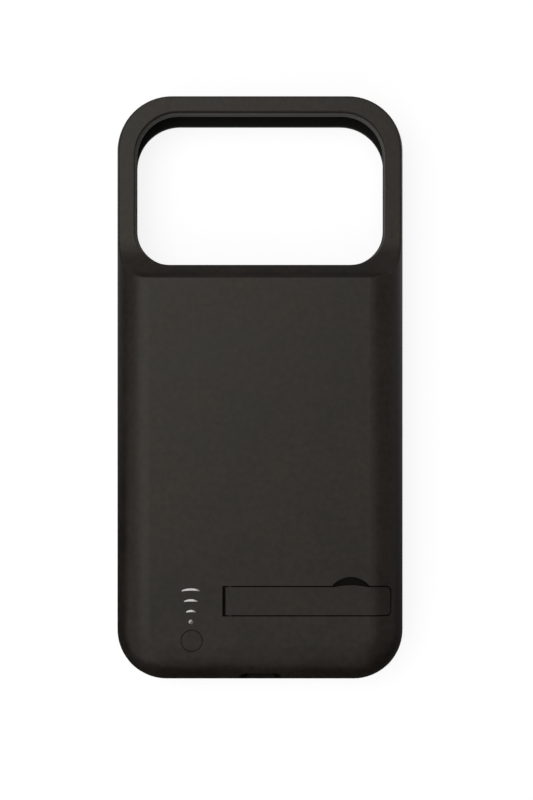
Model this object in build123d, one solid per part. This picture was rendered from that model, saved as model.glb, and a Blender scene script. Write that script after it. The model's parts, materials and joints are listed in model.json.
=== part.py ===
"""Battery charging case for a slim phone, in millimetres.

The case lies on its screen lip, hump up: +Y runs to the camera end, +Z out of the back,
and the origin is the middle of the outline on the floor.
"""
from build123d import *
from math import asin, degrees, sqrt
import os

# The phone that the case takes
PHONE_WIDTH = 71.9
PHONE_LENGTH = 150.0
PHONE_DEPTH = 8.75
PHONE_CORNER = 12.0
PHONE_FIT = 0.15

# Soft frame round the phone
SIDE_WALL = 2.9
TOP_WALL = 3.0
CHIN = 5.7
CORNER_TOP = 15.0
CORNER_BOTTOM = 13.5
LIP = 1.2
LIP_OVERLAP = 1.7
LIP_OVERLAP_TOP = 2.5
LIP_ROUND = 1.4
SEAM_DROP = 0.55
TONGUE_FIT = 0.1

# Hard shell and inner plate, stacked from the phone's back outwards
PLATE = 1.2
RIM_RISE = 1.65
BAY_DEPTH = 6.0
SHELL = 1.45
SHOULDER = 9.5
RIM_EDGE_ROUND = 0.5

# Camera rim and the hollow ramp up to the hump
RIDGE_FROM_TOP = 50.9
RAMP_RUN = 11.9
RIDGE_WALL = 1.1
RIM_SIDE = 4.8
OPENING_FROM_TOP = 4.7
OPENING_TO_RIDGE = 4.0
OPENING_TOP_CORNER = 12.0
OPENING_LOW_CORNER = 10.0
PLATE_LEDGE = 0.7
PLATE_EDGE_ROUND = 0.5

# Kickstand, its well and its pin
STAND_WIDTH = 7.55
STAND_FROM_SIDE = 3.95
STAND_THICK = 2.2
STAND_FROM_LIGHTS = 9.27
STAND_FROM_BOTTOM = 21.5
STAND_SIDE_GAP = 0.28
STAND_HEEL_GAP = 0.8
STAND_TIP_GAP = 0.3
STAND_FLOOR_GAP = 0.4
STAND_TIP_ROUND = 1.2
STAND_TIP_DEPTH = 4.2
PIN_RADIUS = 0.6
PIN_RUNNING_FIT = 0.05
PIN_SEAT_FIT = 0.01
PIN_SEAT = 0.9
KNUCKLE_WALL = 0.6
HEEL_SWING_GAP = 0.15
WELL_WALL = 1.2
NOTCH_RADIUS = 6.45
NOTCH_FROM_TIP = 10.7
NAIL_LIP = 0.5
NAIL_LIP_WIDTH = 9.0

# Power button and push switch
BUTTON_FROM_SIDE = 20.8
BUTTON_FROM_BOTTOM = 10.9
BUTTON_RADIUS = 2.8
BUTTON_GAP = 0.13
BUTTON_TRAVEL = 0.3
BUTTON_FLANGE = 0.7
BUTTON_FLANGE_THICK = 0.6
BUTTON_FLANGE_GAP = 0.1
BUTTON_STEM = 0.3
BUTTON_STEM_RADIUS = 1.0
SWITCH_SIDE = 4.2
SWITCH_CORNER = 0.4
PLUNGER_RADIUS = 0.8
PLUNGER_FIT = 0.06
PLUNGER_STAND = 0.6
PLUNGER_DEPTH = 0.6

# Charge lights: a dot and three arcs round it
LIGHT_ASIDE = 0.25
LIGHT_DOT_RADIUS = 0.6
LIGHT_STROKE = 0.58
LIGHT_STROKE_END = 0.26
LIGHT_ARCS = ((2.95, 2.5), (5.8, 3.6), (8.7, 4.95))
LIGHT_SINK = 0.06
LIGHT_FIT = 0.04
GUIDE_BASE = 0.7
GUIDE_MARGIN = 0.7
GUIDE_BUTTON_GAP = 0.24
GUIDE_LEG_RADIUS = 0.7
GUIDE_LED_GAP = 0.25
LED_SIZE = (1.6, 0.8, 0.5)

# Charging board and what stands on it
BOARD = 0.8
BOARD_SIDE_GAP = 0.56
BOARD_LOW_GAP = 0.43
BOARD_PAST_WELL = 1.12
BOARD_CORNER_EASE = 4.5
BOARD_END_CORNER = 1.0
STANDOFF_RADIUS = 1.8
BOARD_SCREW_RADIUS = 0.6
BOARD_SCREW_HEAD_RADIUS = 1.15
BOARD_SCREW_HEAD = 0.7
BOARD_SCREW_BEVEL = 0.3
BOARD_SCREW_FIT = 0.15
BOARD_SCREW_GRIP = 1.6
BOARD_SCREW_HIGH_INSET = (3.9, 2.6)
BOARD_SCREW_LOW_INSET = (9.9, 5.0)
CHIP_HEIGHT = 0.9
CHARGE_CHIP_SIDE = 5.0
CHARGE_CHIP_PLACE = (20.9, 18.5)
BOOST_CHIP_SIDE = 4.0
BOOST_CHIP_PLACE = (9.4, 18.5)
INDUCTOR_SIDE = 5.2
INDUCTOR_HEIGHT = 2.4
INDUCTOR_ROUND = 1.1
INDUCTOR_FROM_RIGHT = 19.4
INDUCTOR_WELL_GAP = 2.12
CAPACITOR_SIZE = (2.0, 1.25, 0.85)
CAPACITOR_PLACES = ((26.3, 18.5), (14.9, 18.5), (4.3, 18.5), (12.4, 7.2), (14.9, 7.2))

# Charging socket at the bottom end
PORT_WIDTH = 8.94
PORT_HEIGHT = 3.2
PORT_DEPTH = 7.3
PORT_SKIN = 0.3
PORT_RECESS = 0.15
PORT_MOUTH_GAP = 0.3
PORT_BOARD_GAP = 0.15
PORT_PLATE_GAP = 0.05
PORT_TONGUE = (6.7, 0.7)
PORT_TONGUE_SETBACK = 0.9
PORT_BACK = 1.2
PORT_TAB = 0.9
PORT_TAB_STEPS = (2.4, 4.8)

# Plug that goes into the phone, on an upright board in the chin
PLUG_WIDTH = 8.25
PLUG_HEIGHT = 2.4
PLUG_REACH = 6.6
PLUG_SKIN = 0.3
PLUG_MOUTH_BEVEL = 0.18
PLUG_TONGUE_SETBACK = 0.5
PLUG_TONGUE_SLOT = 0.75
PLUG_BASE_WIDTH = 16.0
PLUG_BASE_HEIGHT = 6.6
PLUG_BASE_DEPTH = 1.8
PLUG_BASE_SINK = 0.1
PLUG_BASE_ROUND = 0.8
RISER_WIDTH = 19.0
RISER = 0.8
RISER_FIT = 0.25
RISER_FOOT = 2.4
RISER_PORT_GAP = 0.3

# Battery, its strip board, leads and tape
CELL_SIDE_GAP = 1.7
CELL_BOARD_GAP = 7.9
CELL_TOP_GAP = 0.65
CELL_ROUND = 1.6
CELL_END_GAP = 1.6
TAPE = 0.15
TAPE_MARGIN = 6.0
TERRACE = 4.6
TERRACE_THICK = 1.0
STRIP_LENGTH = 34.0
STRIP_WIDTH = 3.6
STRIP = 0.8
LEAD_RADIUS = 0.55
LEAD_SPACING = 6.0
LEAD_RISE = 1.0
LEAD_BEND = 1.2
LEAD_INSET = 0.7
FENCE = 0.9
FENCE_HEIGHT = 1.4
FENCE_GAP = 0.5
FENCE_LENGTH = 22.0

# Screws that hold the inner plate in the shell
PLATE_SCREW_RADIUS = 0.7
PLATE_SCREW_HEAD_RADIUS = 1.3
PLATE_SCREW_HEAD = 0.7
PLATE_SCREW_GRIP = 2.2
BOSS_RADIUS = 1.7
BOSS_INSET = 4.6
BOSS_FROM_RIDGE = 7.0
BOSS_FROM_BOARD = 5.5
BOSS_COUNT = 3

# Side keys and sound slots of the soft frame
KEY_HEIGHT = 3.6
KEY_GROOVE = 0.5
KEY_GROOVE_DEPTH = 0.5
KEY_RELIEF = 0.6
KEYS_RIGHT = ((34.5, 8.0), (47.5, 10.5), (60.5, 10.5))
KEYS_LEFT = ((54.0, 17.0),)
CUTOUT_FROM_TOP = 98.0
CUTOUT_LENGTH = 26.0
CUTOUT_HEIGHT = 5.4
CUTOUT_FLARE = 0.9
SOUND_SLOT_LENGTH = 3.6
SOUND_SLOT_HEIGHT = 1.8
SOUND_SLOT_PITCH = 5.2
SOUND_SLOT_COUNT = 3
SOUND_FROM_MIDDLE = 20.5

# How far a cutter runs past the face that it opens
CUT_PAST = 1.0

# Outline and levels that follow from the sizes above
CASE_WIDTH = PHONE_WIDTH + 2 * (PHONE_FIT + SIDE_WALL)
CASE_LENGTH = PHONE_LENGTH + 2 * PHONE_FIT + TOP_WALL + CHIN
TOP_Y = CASE_LENGTH / 2
BOTTOM_Y = -CASE_LENGTH / 2
Z_PLATE = LIP + PHONE_DEPTH + PHONE_FIT
Z_BAY = Z_PLATE + PLATE
Z_RIM = Z_BAY + RIM_RISE
Z_CEILING = Z_BAY + BAY_DEPTH
Z_BACK = Z_CEILING + SHELL
Z_SEAM = Z_PLATE - SEAM_DROP
Z_SHOULDER = Z_BACK - SHOULDER
Z_BOARD = Z_BAY + PORT_PLATE_GAP + (PORT_HEIGHT - BOARD) / 2
Z_BOARD_TOP = Z_BOARD + BOARD
RIDGE_Y = TOP_Y - RIDGE_FROM_TOP
RAMP_FOOT_Y = RIDGE_Y + RAMP_RUN
BAY_END_Y = RIDGE_Y - RIDGE_WALL
OPENING_HIGH_Y = TOP_Y - OPENING_FROM_TOP
OPENING_LOW_Y = RIDGE_Y + OPENING_TO_RIDGE
OPENING_WIDTH = CASE_WIDTH - 2 * RIM_SIDE
POCKET_LOW_Y = BOTTOM_Y + CHIN
POCKET_HIGH_Y = TOP_Y - TOP_WALL
PHONE_MID_Z = LIP + PHONE_DEPTH / 2
STAND_Y = BOTTOM_Y + STAND_FROM_BOTTOM
BUTTON_X = BUTTON_FROM_SIDE - CASE_WIDTH / 2
LIGHT_X = BUTTON_X - LIGHT_ASIDE
STAND_HEEL_X = LIGHT_X + STAND_FROM_LIGHTS
STAND_TIP_X = CASE_WIDTH / 2 - STAND_FROM_SIDE
KNUCKLE_RADIUS = PIN_RADIUS + KNUCKLE_WALL
HINGE_X = STAND_HEEL_X + KNUCKLE_RADIUS
HINGE_Z = Z_BACK - KNUCKLE_RADIUS
WELL_WIDTH = STAND_WIDTH + 2 * STAND_SIDE_GAP
WELL_DEPTH = STAND_THICK + STAND_FLOOR_GAP
WELL_HEEL_X = STAND_HEEL_X - STAND_HEEL_GAP
WELL_TIP_X = STAND_TIP_X + STAND_TIP_GAP
Z_STAND_LOW = Z_BACK - STAND_TIP_DEPTH
Z_WELL_LOW = Z_STAND_LOW - STAND_FLOOR_GAP
HEEL_SWING = sqrt(2) * KNUCKLE_RADIUS + HEEL_SWING_GAP
NOTCH_X = STAND_TIP_X - NOTCH_FROM_TIP
BUTTON_Y = BOTTOM_Y + BUTTON_FROM_BOTTOM
FLANGE_RADIUS = BUTTON_RADIUS + BUTTON_FLANGE
LIGHT_Y = BUTTON_Y + FLANGE_RADIUS + GUIDE_BUTTON_GAP + GUIDE_MARGIN + LIGHT_DOT_RADIUS
PORT_Z = Z_BOARD + BOARD / 2
PLUG_BASE_FACE_Y = POCKET_LOW_Y - PLUG_BASE_SINK
RISER_FRONT_Y = PLUG_BASE_FACE_Y - PLUG_BASE_DEPTH
BOARD_END_Y = STAND_Y + WELL_WIDTH / 2 + WELL_WALL + BOARD_PAST_WELL
CELL_HIGH_Y = BAY_END_Y - CELL_END_GAP
CELL_LOW_Y = BOARD_END_Y + CELL_BOARD_GAP
CELL_WIDTH = CASE_WIDTH - 2 * (BOSS_INSET + BOSS_RADIUS + CELL_SIDE_GAP)
Z_CELL = Z_BAY + TAPE
Z_CELL_TOP = Z_CEILING - CELL_TOP_GAP


def rounded_plan(x_low, x_high, y_low, y_high, top_radius, low_radius):
    """Flat rectangle with one radius at its two upper corners and another at its two lower ones."""
    plan = Pos((x_low + x_high) / 2, (y_low + y_high) / 2) * Rectangle(x_high - x_low, y_high - y_low)
    plan = fillet(plan.vertices().group_by(Axis.Y)[-1], top_radius)
    return fillet(plan.vertices().group_by(Axis.Y)[0], low_radius)


def outline(inset):
    """Plan of the case, drawn in by inset."""
    half = CASE_WIDTH / 2 - inset
    return rounded_plan(
        -half, half, BOTTOM_Y + inset, TOP_Y - inset, CORNER_TOP - inset, CORNER_BOTTOM - inset
    )


def phone_plan(inset):
    """Plan of the space for the phone, drawn in by inset."""
    half = PHONE_WIDTH / 2 + PHONE_FIT - inset
    radius = PHONE_CORNER - inset
    return rounded_plan(-half, half, POCKET_LOW_Y + inset, POCKET_HIGH_Y - inset, radius, radius)


def screen_plan():
    """Plan of the opening over the screen, inside the lip."""
    half = PHONE_WIDTH / 2 + PHONE_FIT - LIP_OVERLAP
    low_y, high_y = POCKET_LOW_Y + LIP_OVERLAP, POCKET_HIGH_Y - LIP_OVERLAP_TOP
    return rounded_plan(-half, half, low_y, high_y, PHONE_CORNER, PHONE_CORNER - LIP_OVERLAP)


def camera_plan(inset):
    """Plan of the camera opening, drawn in by inset."""
    half = OPENING_WIDTH / 2 - inset
    return rounded_plan(
        -half, half, OPENING_LOW_Y + inset, OPENING_HIGH_Y - inset,
        OPENING_TOP_CORNER - inset, OPENING_LOW_CORNER - inset,
    )


def slab(plan, z_low, z_high):
    """Flat plan made solid between two levels."""
    return extrude(Pos(0, 0, z_low) * plan, z_high - z_low)


def block(x_low, x_high, y_low, y_high, z_low, z_high):
    """Box given by its two ends along each axis."""
    middle = Pos((x_low + x_high) / 2, (y_low + y_high) / 2, (z_low + z_high) / 2)
    return middle * Box(x_high - x_low, y_high - y_low, z_high - z_low)


def post(x, y, radius, z_low, z_high):
    """Upright round post."""
    return Pos(x, y, (z_low + z_high) / 2) * Cylinder(radius, z_high - z_low)


def lying_slot(width, height, x, z, y_low, y_high):
    """Flat-oval bar that runs along Y, with its middle at x and z."""
    face = Plane.XZ * Pos(x, z) * SlotOverall(width, height)
    return Pos(0, y_high, 0) * extrude(face, y_high - y_low)


def domed_block(inset, z_low):
    """Case form above z_low, drawn in by inset, with the shoulder rounded all the way round."""
    body = slab(outline(inset), z_low, Z_BACK - inset)
    return fillet(body.faces().sort_by(Axis.Z)[-1].edges(), SHOULDER - inset)


def ramp_cutter():
    """All that lies over the camera rim and the hollow ramp, as one bar across the case."""
    far_y = TOP_Y + RAMP_RUN
    high_z = Z_BACK + SHOULDER
    edge = TangentArc((RAMP_FOOT_Y, Z_RIM), (RIDGE_Y, Z_BACK), tangent=(-1, 0))
    edge += Polyline(
        (RIDGE_Y, Z_BACK), (RIDGE_Y, high_z), (far_y, high_z), (far_y, Z_RIM), (RAMP_FOOT_Y, Z_RIM)
    )
    return extrude(Plane.YZ * make_face(edge), CASE_WIDTH, both=True)


def case_form():
    """Outside of the closed case, from the floor to the hump, before anything is hollowed."""
    body = domed_block(0, 0)
    body = fillet(body.faces().sort_by(Axis.Z)[0].edges(), LIP_ROUND)
    body -= ramp_cutter()
    rim = body.faces().filter_by(Axis.Z).sort_by(lambda face: abs(face.center().Z - Z_RIM))[0]
    return fillet(rim.edges().sort_by(Axis.Y)[1:], RIM_EDGE_ROUND)


def back_profile(inset, x_low, x_high, z_floor):
    """Section across the hump between two places along X, drawn in by inset, down to z_floor."""
    turn_x = CASE_WIDTH / 2 - SHOULDER
    radius = SHOULDER - inset
    top = Z_BACK - inset
    sweep_end = degrees(asin(min((x_high - turn_x) / radius, 1)))
    arc = CenterArc((turn_x, Z_SHOULDER), radius, 90, -sweep_end)
    edge = Line((x_low, top), (turn_x, top)) + arc
    edge += Polyline(arc @ 1, ((arc @ 1).X, z_floor), (x_low, z_floor), (x_low, top))
    return make_face(edge)


def across_stand(section, width):
    """Section in XZ made a bar of the given width about the stand's middle line."""
    return Pos(0, STAND_Y, 0) * extrude(Plane.XZ * section, width / 2, both=True)


def under_back(inset, x_low, x_high, width):
    """Bar below the hump's surface by inset, following it over the shoulder."""
    return across_stand(back_profile(inset, x_low, x_high, Z_SEAM), width)


def heel_trough(radius, width):
    """Round bar about the hinge, as wide as the well or its walls."""
    return Pos(HINGE_X, STAND_Y, HINGE_Z) * Rot(90, 0, 0) * Cylinder(radius, width)


def well_space(growth):
    """Space of the stand and its thumb notch, grown all round for the walls of the well."""
    depth = WELL_DEPTH + growth
    width = WELL_WIDTH + 2 * growth
    low_x = WELL_HEEL_X - growth
    high_x = WELL_TIP_X + growth
    low_z = Z_WELL_LOW - growth
    high_z = Z_BACK + CUT_PAST
    band = block(low_x, high_x, STAND_Y - width / 2, STAND_Y + width / 2, low_z, high_z)
    corner = STAND_TIP_ROUND + STAND_TIP_GAP + growth
    band = fillet(band.edges().filter_by(Axis.Z).group_by(Axis.X)[-1], corner)
    notch = post(NOTCH_X, STAND_Y, NOTCH_RADIUS + growth, low_z, high_z)
    notch &= block(low_x, high_x, STAND_Y, STAND_Y + 2 * NOTCH_RADIUS, low_z, high_z)
    space = (band + notch) - under_back(depth, low_x - CUT_PAST, CASE_WIDTH / 2, CASE_WIDTH)
    trough = heel_trough(HEEL_SWING + growth, width)
    return space + (trough & block(low_x, HINGE_X + HEEL_SWING + growth, BOTTOM_Y, TOP_Y, Z_SEAM, HINGE_Z))


def light_arc(radius, chord, growth):
    """Plan of one arc of light, thickest in the middle, grown all round."""
    half = chord / 2 + growth
    middle_y = LIGHT_Y + radius
    end_y = LIGHT_Y + sqrt(radius**2 - (chord / 2) ** 2)
    thick, thin = LIGHT_STROKE / 2 + growth, LIGHT_STROKE_END / 2 + growth
    left, right = LIGHT_X - half, LIGHT_X + half
    edge = ThreePointArc((left, end_y + thin), (LIGHT_X, middle_y + thick), (right, end_y + thin))
    edge += Line((right, end_y + thin), (right, end_y - thin))
    edge += ThreePointArc((right, end_y - thin), (LIGHT_X, middle_y - thick), (left, end_y - thin))
    edge += Line((left, end_y - thin), (left, end_y + thin))
    return make_face(edge)


def light_marks(growth, z_low, z_high):
    """The dot and three arcs as upright solids."""
    marks = [post(LIGHT_X, LIGHT_Y, LIGHT_DOT_RADIUS + growth, z_low, z_high)]
    for radius, chord in LIGHT_ARCS:
        marks.append(slab(light_arc(radius, chord, growth), z_low, z_high))
    return marks


def shoulder_reach(inset, z):
    """How far the rounded shoulder, drawn in by inset, runs out from its centre line at a level."""
    return sqrt((SHOULDER - inset) ** 2 - (z - Z_SHOULDER) ** 2)


def board_half():
    """Half the board's width, just clear of the wall round the stand's tip."""
    wall_x = CASE_WIDTH / 2 - SHOULDER + shoulder_reach(WELL_DEPTH + WELL_WALL, Z_BOARD_TOP)
    return wall_x - BOARD_SIDE_GAP


def board_low_y():
    """Lower edge of the board, just clear of the shell's rounded bottom end."""
    return BOTTOM_Y + SHOULDER - shoulder_reach(SHELL, Z_BOARD_TOP) + BOARD_LOW_GAP


def board_point(place):
    """Place on the board, given from its right edge and its lower edge."""
    return board_half() - place[0], board_low_y() + place[1]


def board_screw_places():
    """Places of the four board screws."""
    high_x, high_y = BOARD_SCREW_HIGH_INSET
    low_x, low_y = board_point(BOARD_SCREW_LOW_INSET)
    high = (board_half() - high_x, BOARD_END_Y - high_y)
    return [(side * x, y) for x, y in (high, (low_x, low_y)) for side in (-1, 1)]


def plate_screw_places():
    """Places of the screws along both long sides of the inner plate, evenly spaced."""
    x = CASE_WIDTH / 2 - BOSS_INSET
    high_y = BAY_END_Y - BOSS_FROM_RIDGE
    step = (high_y - BOARD_END_Y - BOSS_FROM_BOARD) / (BOSS_COUNT - 1)
    return [(side * x, high_y - index * step) for index in range(BOSS_COUNT) for side in (-1, 1)]


def make_back_shell():
    """Hard shell: rim, ramp and hump, with the stand's well, light slots, button hole and socket mouth."""
    form = case_form() & block(-CASE_WIDTH, CASE_WIDTH, -CASE_LENGTH, CASE_LENGTH, Z_SEAM, Z_BACK + CUT_PAST)
    bay = domed_block(SHELL, 0)
    bay &= block(-CASE_WIDTH, CASE_WIDTH, BOTTOM_Y, BAY_END_Y, Z_SEAM, Z_BACK)
    body = form - bay - slab(outline(SHELL), Z_SEAM, Z_BAY)
    bosses = [post(x, y, BOSS_RADIUS, Z_BAY, Z_BACK) for x, y in plate_screw_places()]
    body += (well_space(WELL_WALL) + bosses) & form
    body -= well_space(0)
    body -= slab(camera_plan(0), Z_SEAM, Z_BACK)
    body -= light_marks(LIGHT_FIT, Z_CEILING - CUT_PAST, Z_BACK + CUT_PAST)
    body -= post(BUTTON_X, BUTTON_Y, BUTTON_RADIUS + BUTTON_GAP, Z_CEILING - CUT_PAST, Z_BACK + CUT_PAST)
    body -= heel_trough(PIN_RADIUS + PIN_SEAT_FIT, WELL_WIDTH + 2 * PIN_SEAT)
    for x, y in plate_screw_places():
        body -= post(x, y, PLATE_SCREW_RADIUS, Z_BAY, Z_BAY + PLATE_SCREW_GRIP)
    body -= lying_slot(
        PORT_WIDTH + 2 * PORT_MOUTH_GAP, PORT_HEIGHT + 2 * PORT_MOUTH_GAP, 0, PORT_Z,
        BOTTOM_Y - CUT_PAST, BOTTOM_Y + SHOULDER,
    )
    return body


def make_inner_plate():
    """Plate behind the phone: camera opening, riser slot, board standoffs and battery fences."""
    plate = slab(outline(SHELL + TONGUE_FIT), Z_PLATE, Z_BAY) - slab(camera_plan(PLATE_LEDGE), Z_PLATE, Z_BAY)
    plate = fillet(plate.faces().sort_by(Axis.Z)[-1].inner_wires()[0].edges(), PLATE_EDGE_ROUND)
    plate += [post(x, y, STANDOFF_RADIUS, Z_BAY, Z_BOARD) for x, y in board_screw_places()]
    fence_x = CELL_WIDTH / 2 + FENCE_GAP
    cell_mid_y = (CELL_LOW_Y + CELL_HIGH_Y) / 2
    for side in (-1, 1):
        ends = sorted((side * fence_x, side * (fence_x + FENCE)))
        plate += block(
            *ends, cell_mid_y - FENCE_LENGTH / 2, cell_mid_y + FENCE_LENGTH / 2, Z_BAY, Z_BAY + FENCE_HEIGHT
        )
    half = RISER_WIDTH / 2 + RISER_FIT
    low_y = RISER_FRONT_Y - RISER - RISER_FIT
    plate -= block(-half, half, low_y, RISER_FRONT_Y + RISER_FIT, Z_PLATE, Z_BAY)
    for x, y in board_screw_places():
        plate -= post(x, y, BOARD_SCREW_RADIUS, Z_BOARD - BOARD_SCREW_GRIP, Z_BOARD)
    for x, y in plate_screw_places():
        plate -= plate_screw(x, y)
    return plate


def key_ring(side, from_top, length):
    """Groove round a moulded key pad, and the relief behind it, on one long side."""
    y = TOP_Y - from_top
    outer_x = side * CASE_WIDTH / 2
    face = Plane((outer_x, y, PHONE_MID_Z), x_dir=(0, 1, 0), z_dir=(side, 0, 0))
    ring = SlotOverall(length + 2 * KEY_GROOVE, KEY_HEIGHT + 2 * KEY_GROOVE) - SlotOverall(length, KEY_HEIGHT)
    groove = extrude(face * ring, -KEY_GROOVE_DEPTH)
    inner = Plane(face.origin - face.z_dir * SIDE_WALL, x_dir=(0, 1, 0), z_dir=(side, 0, 0))
    return [groove, extrude(inner * SlotOverall(length, KEY_HEIGHT), KEY_RELIEF)]


def side_cutout():
    """Open finger slot in the left side, flared outwards."""
    y = TOP_Y - CUTOUT_FROM_TOP
    outer = Plane((-CASE_WIDTH / 2, y, PHONE_MID_Z), x_dir=(0, 1, 0), z_dir=(-1, 0, 0))
    hole = extrude(outer * SlotOverall(CUTOUT_LENGTH, CUTOUT_HEIGHT), -SIDE_WALL - PHONE_FIT)
    wide = SlotOverall(CUTOUT_LENGTH + 2 * CUTOUT_FLARE, CUTOUT_HEIGHT + 2 * CUTOUT_FLARE)
    return hole + extrude(outer * wide, -CUTOUT_FLARE, taper=45)


def make_bumper_frame():
    """Soft frame: walls, screen lip, chin, key pads, finger slot and sound slots."""
    body = case_form() & block(-CASE_WIDTH, CASE_WIDTH, -CASE_LENGTH, CASE_LENGTH, 0, Z_SEAM)
    body += slab(outline(SHELL + TONGUE_FIT), Z_SEAM, Z_PLATE)
    body -= slab(phone_plan(0), LIP, Z_PLATE)
    body -= slab(screen_plan(), 0, LIP)
    half = max(PLUG_BASE_WIDTH, RISER_WIDTH) / 2 + RISER_FIT
    low_y = RISER_FRONT_Y - RISER - RISER_FIT
    body -= block(-half, half, low_y, RISER_FRONT_Y + RISER_FIT, RISER_FOOT, Z_PLATE)
    base = PLUG_BASE_WIDTH / 2 + RISER_FIT
    foot = PHONE_MID_Z - PLUG_BASE_HEIGHT / 2 - RISER_FIT
    body -= block(-base, base, RISER_FRONT_Y, POCKET_LOW_Y + PHONE_CORNER, foot, Z_PLATE)
    for from_top, length in KEYS_RIGHT:
        body -= key_ring(1, from_top, length)
    for from_top, length in KEYS_LEFT:
        body -= key_ring(-1, from_top, length)
    body -= side_cutout()
    slot_ends = (BOTTOM_Y - CUT_PAST, POCKET_LOW_Y + CUT_PAST)
    for side in (-1, 1):
        for index in range(SOUND_SLOT_COUNT):
            x = side * (SOUND_FROM_MIDDLE + (index - (SOUND_SLOT_COUNT - 1) / 2) * SOUND_SLOT_PITCH)
            body -= lying_slot(SOUND_SLOT_LENGTH, SOUND_SLOT_HEIGHT, x, PHONE_MID_Z, *slot_ends)
    return body


def nail_lip():
    """Shallow arc on the bar's upper edge, where a fingernail lifts it."""
    half = NAIL_LIP_WIDTH / 2
    radius = (half**2 + NAIL_LIP**2) / (2 * NAIL_LIP)
    edge_y = STAND_Y + STAND_WIDTH / 2
    low_z = Z_BACK - STAND_THICK
    disc = post(NOTCH_X, edge_y + NAIL_LIP - radius, radius, low_z, Z_BACK)
    return disc & block(NOTCH_X - half, NOTCH_X + half, edge_y - NAIL_LIP, edge_y + NAIL_LIP, low_z, Z_BACK)


def make_kickstand():
    """Bar that lies flush in the hump, with its hinge knuckle, rounded tip and nail lip."""
    section = back_profile(0, STAND_HEEL_X, STAND_TIP_X, Z_SEAM)
    bar = across_stand(section, STAND_WIDTH)
    bar -= under_back(STAND_THICK, STAND_HEEL_X - CUT_PAST, CASE_WIDTH / 2, CASE_WIDTH)
    bar -= block(STAND_HEEL_X, CASE_WIDTH, BOTTOM_Y, TOP_Y, 0, Z_STAND_LOW)
    bar = fillet(bar.edges().filter_by(Axis.Z).group_by(Axis.X)[-1], STAND_TIP_ROUND)
    bar += nail_lip()
    bar += heel_trough(KNUCKLE_RADIUS, STAND_WIDTH)
    return bar - heel_trough(PIN_RADIUS + PIN_RUNNING_FIT, STAND_WIDTH + CUT_PAST)


def make_kickstand_pin():
    """Steel pin across the stand's heel, seated in both walls of the well."""
    return heel_trough(PIN_RADIUS, WELL_WIDTH + 2 * PIN_SEAT)


def make_power_button():
    """Flush cap with a flange under the shell and a stem down to the switch."""
    flange_low = button_flange_low()
    flange_top = flange_low + BUTTON_FLANGE_THICK
    cap = post(BUTTON_X, BUTTON_Y, BUTTON_RADIUS, flange_low, Z_BACK + CUT_PAST) & domed_block(0, 0)
    cap += post(BUTTON_X, BUTTON_Y, FLANGE_RADIUS, flange_low, flange_top)
    return cap + post(BUTTON_X, BUTTON_Y, BUTTON_STEM_RADIUS, plunger_top(), flange_low)


def button_flange_low():
    """Underside of the button's flange, below the shell's inner face where that falls to the bottom end."""
    reach = max(FLANGE_RADIUS - BUTTON_FROM_BOTTOM + SHOULDER, 0)
    face_z = Z_SHOULDER + sqrt((SHOULDER - SHELL) ** 2 - reach**2)
    return face_z - BUTTON_FLANGE_GAP - BUTTON_FLANGE_THICK


def plunger_top():
    """Level where the button's stem meets the switch's plunger."""
    return button_flange_low() - BUTTON_STEM


def switch_top():
    """Top of the push switch's body, which the plunger stands out of."""
    return plunger_top() - PLUNGER_STAND


def make_switch_can():
    """Push switch body on the board, with the bore of its plunger."""
    half = SWITCH_SIDE / 2
    top = switch_top()
    can = block(BUTTON_X - half, BUTTON_X + half, BUTTON_Y - half, BUTTON_Y + half, Z_BOARD_TOP, top)
    can = chamfer(can.edges().filter_by(Axis.Z), SWITCH_CORNER)
    bore_floor = top - PLUNGER_DEPTH - 2 * BUTTON_TRAVEL
    return can - post(BUTTON_X, BUTTON_Y, PLUNGER_RADIUS + PLUNGER_FIT, bore_floor, top)


def make_switch_plunger():
    """Plunger of the push switch, which the button's stem stands on."""
    return post(BUTTON_X, BUTTON_Y, PLUNGER_RADIUS, switch_top() - PLUNGER_DEPTH, plunger_top())


def make_light_guide():
    """White guide: marks in the shell's slots, a base glued under the shell and a leg over each chip."""
    marks = light_marks(0, Z_CEILING, Z_BACK - LIGHT_SINK)
    half = LIGHT_ARCS[-1][1] / 2 + GUIDE_MARGIN
    low_y = LIGHT_Y - LIGHT_DOT_RADIUS - GUIDE_MARGIN
    high_y = LIGHT_Y + LIGHT_ARCS[-1][0] + LIGHT_STROKE / 2 + GUIDE_MARGIN
    guide = block(LIGHT_X - half, LIGHT_X + half, low_y, high_y, Z_CEILING - GUIDE_BASE, Z_CEILING)
    leg_foot = Z_BOARD_TOP + LED_SIZE[2] + GUIDE_LED_GAP
    for y in light_rows():
        guide += post(LIGHT_X, y, GUIDE_LEG_RADIUS, leg_foot, Z_CEILING - GUIDE_BASE)
    return guide + marks


def light_rows():
    """Places along Y of the dot and the arcs."""
    return [LIGHT_Y] + [LIGHT_Y + radius for radius, chord in LIGHT_ARCS]


def chip(place, size):
    """Small block that stands on the board."""
    x, y = place
    length, width, height = size
    return Pos(x, y, Z_BOARD_TOP + height / 2) * Box(length, width, height)


def make_main_board():
    """Charging board across the lower end of the bay, cut out round the socket and drilled for its screws."""
    half = board_half()
    low_corner = CORNER_BOTTOM - BOARD_CORNER_EASE
    plan = rounded_plan(-half, half, board_low_y(), BOARD_END_Y, BOARD_END_CORNER, low_corner)
    board = slab(plan, Z_BOARD, Z_BOARD_TOP)
    half = PORT_WIDTH / 2 + PORT_BOARD_GAP
    board -= block(-half, half, BOTTOM_Y, port_front_y() + PORT_DEPTH + PORT_BOARD_GAP, Z_BOARD, Z_BOARD_TOP)
    for x, y in board_screw_places():
        board -= post(x, y, BOARD_SCREW_RADIUS + BOARD_SCREW_FIT, Z_BOARD, Z_BOARD_TOP)
    return board


def port_front_y():
    """Front edge of the socket, just inside the rounded bottom end at the socket's top."""
    return BOTTOM_Y + SHOULDER - shoulder_reach(0, PORT_Z + PORT_HEIGHT / 2) + PORT_RECESS


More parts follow.
